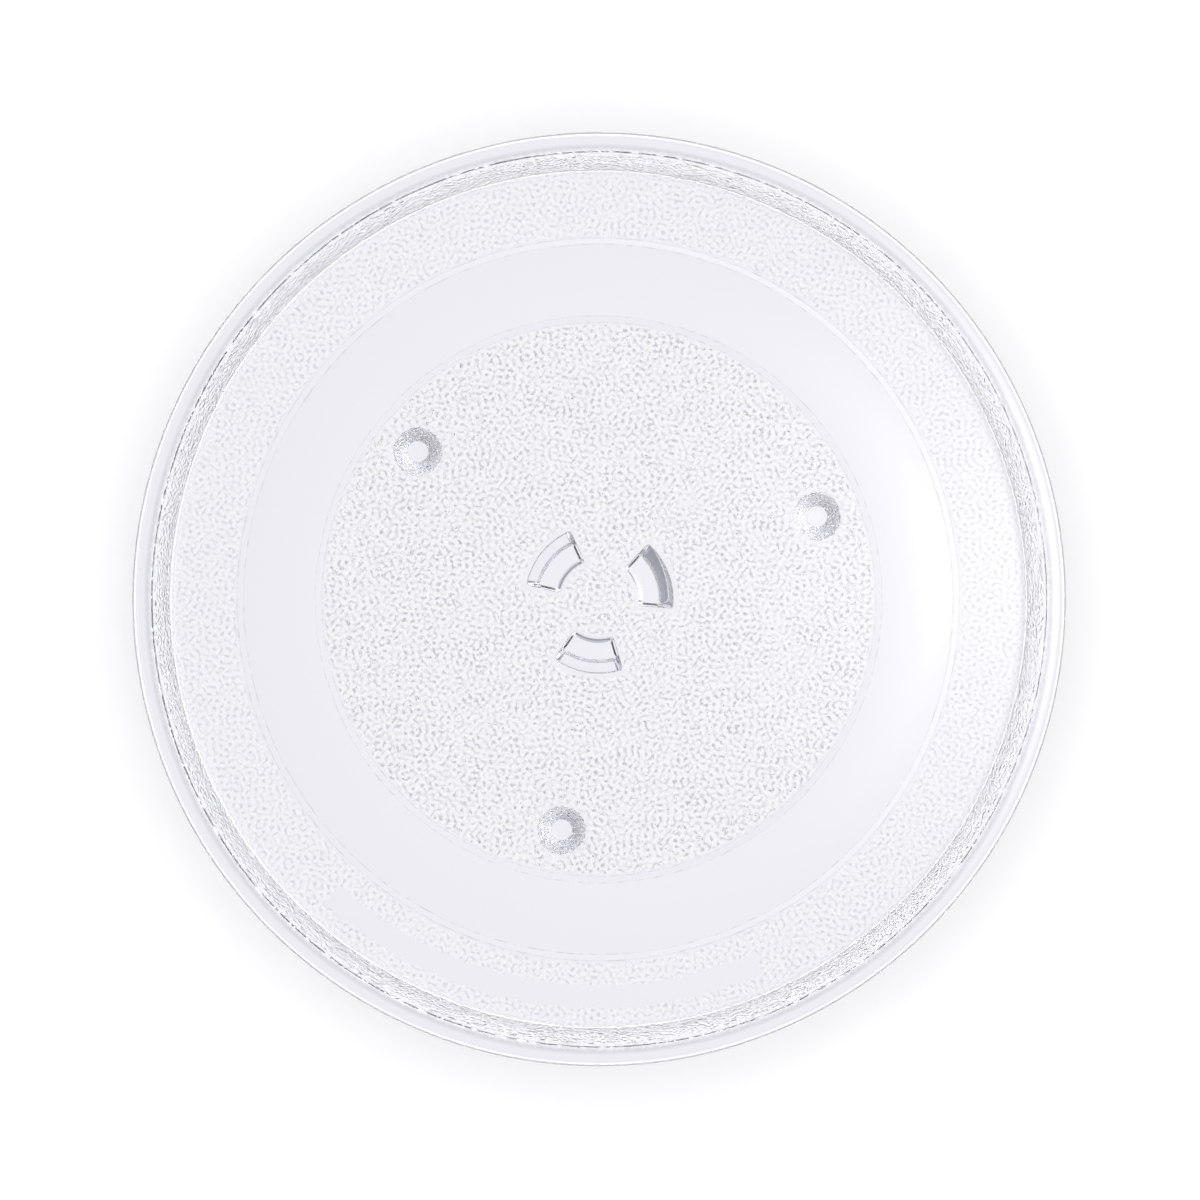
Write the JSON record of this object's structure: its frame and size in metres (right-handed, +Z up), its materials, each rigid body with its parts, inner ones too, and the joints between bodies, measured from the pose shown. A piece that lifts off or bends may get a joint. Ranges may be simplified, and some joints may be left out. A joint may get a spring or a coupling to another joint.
{
  "type": "microwave turntable plate",
  "caption": "Round clear pressed-glass turntable plate with a low sloped rim, a smooth roller track, feet and drive lugs under a stippled floor; it turns food in a microwave oven.",
  "frame": {"origin": "on the plane of the ends of the three feet, below the middle of the plate", "axes": "+Z up along the axis of rotation, towards the food; one foot and one drive lug lie on the -Y side"},
  "size_m": [0.318, 0.318, 0.0212],
  "materials": {
    "clear_glass": "clear pressed glass, polished on top, stippled underneath"
  },
  "bodies": {
    "root": {"turntable_plate": "clear_glass"}
  },
  "joints": []
}
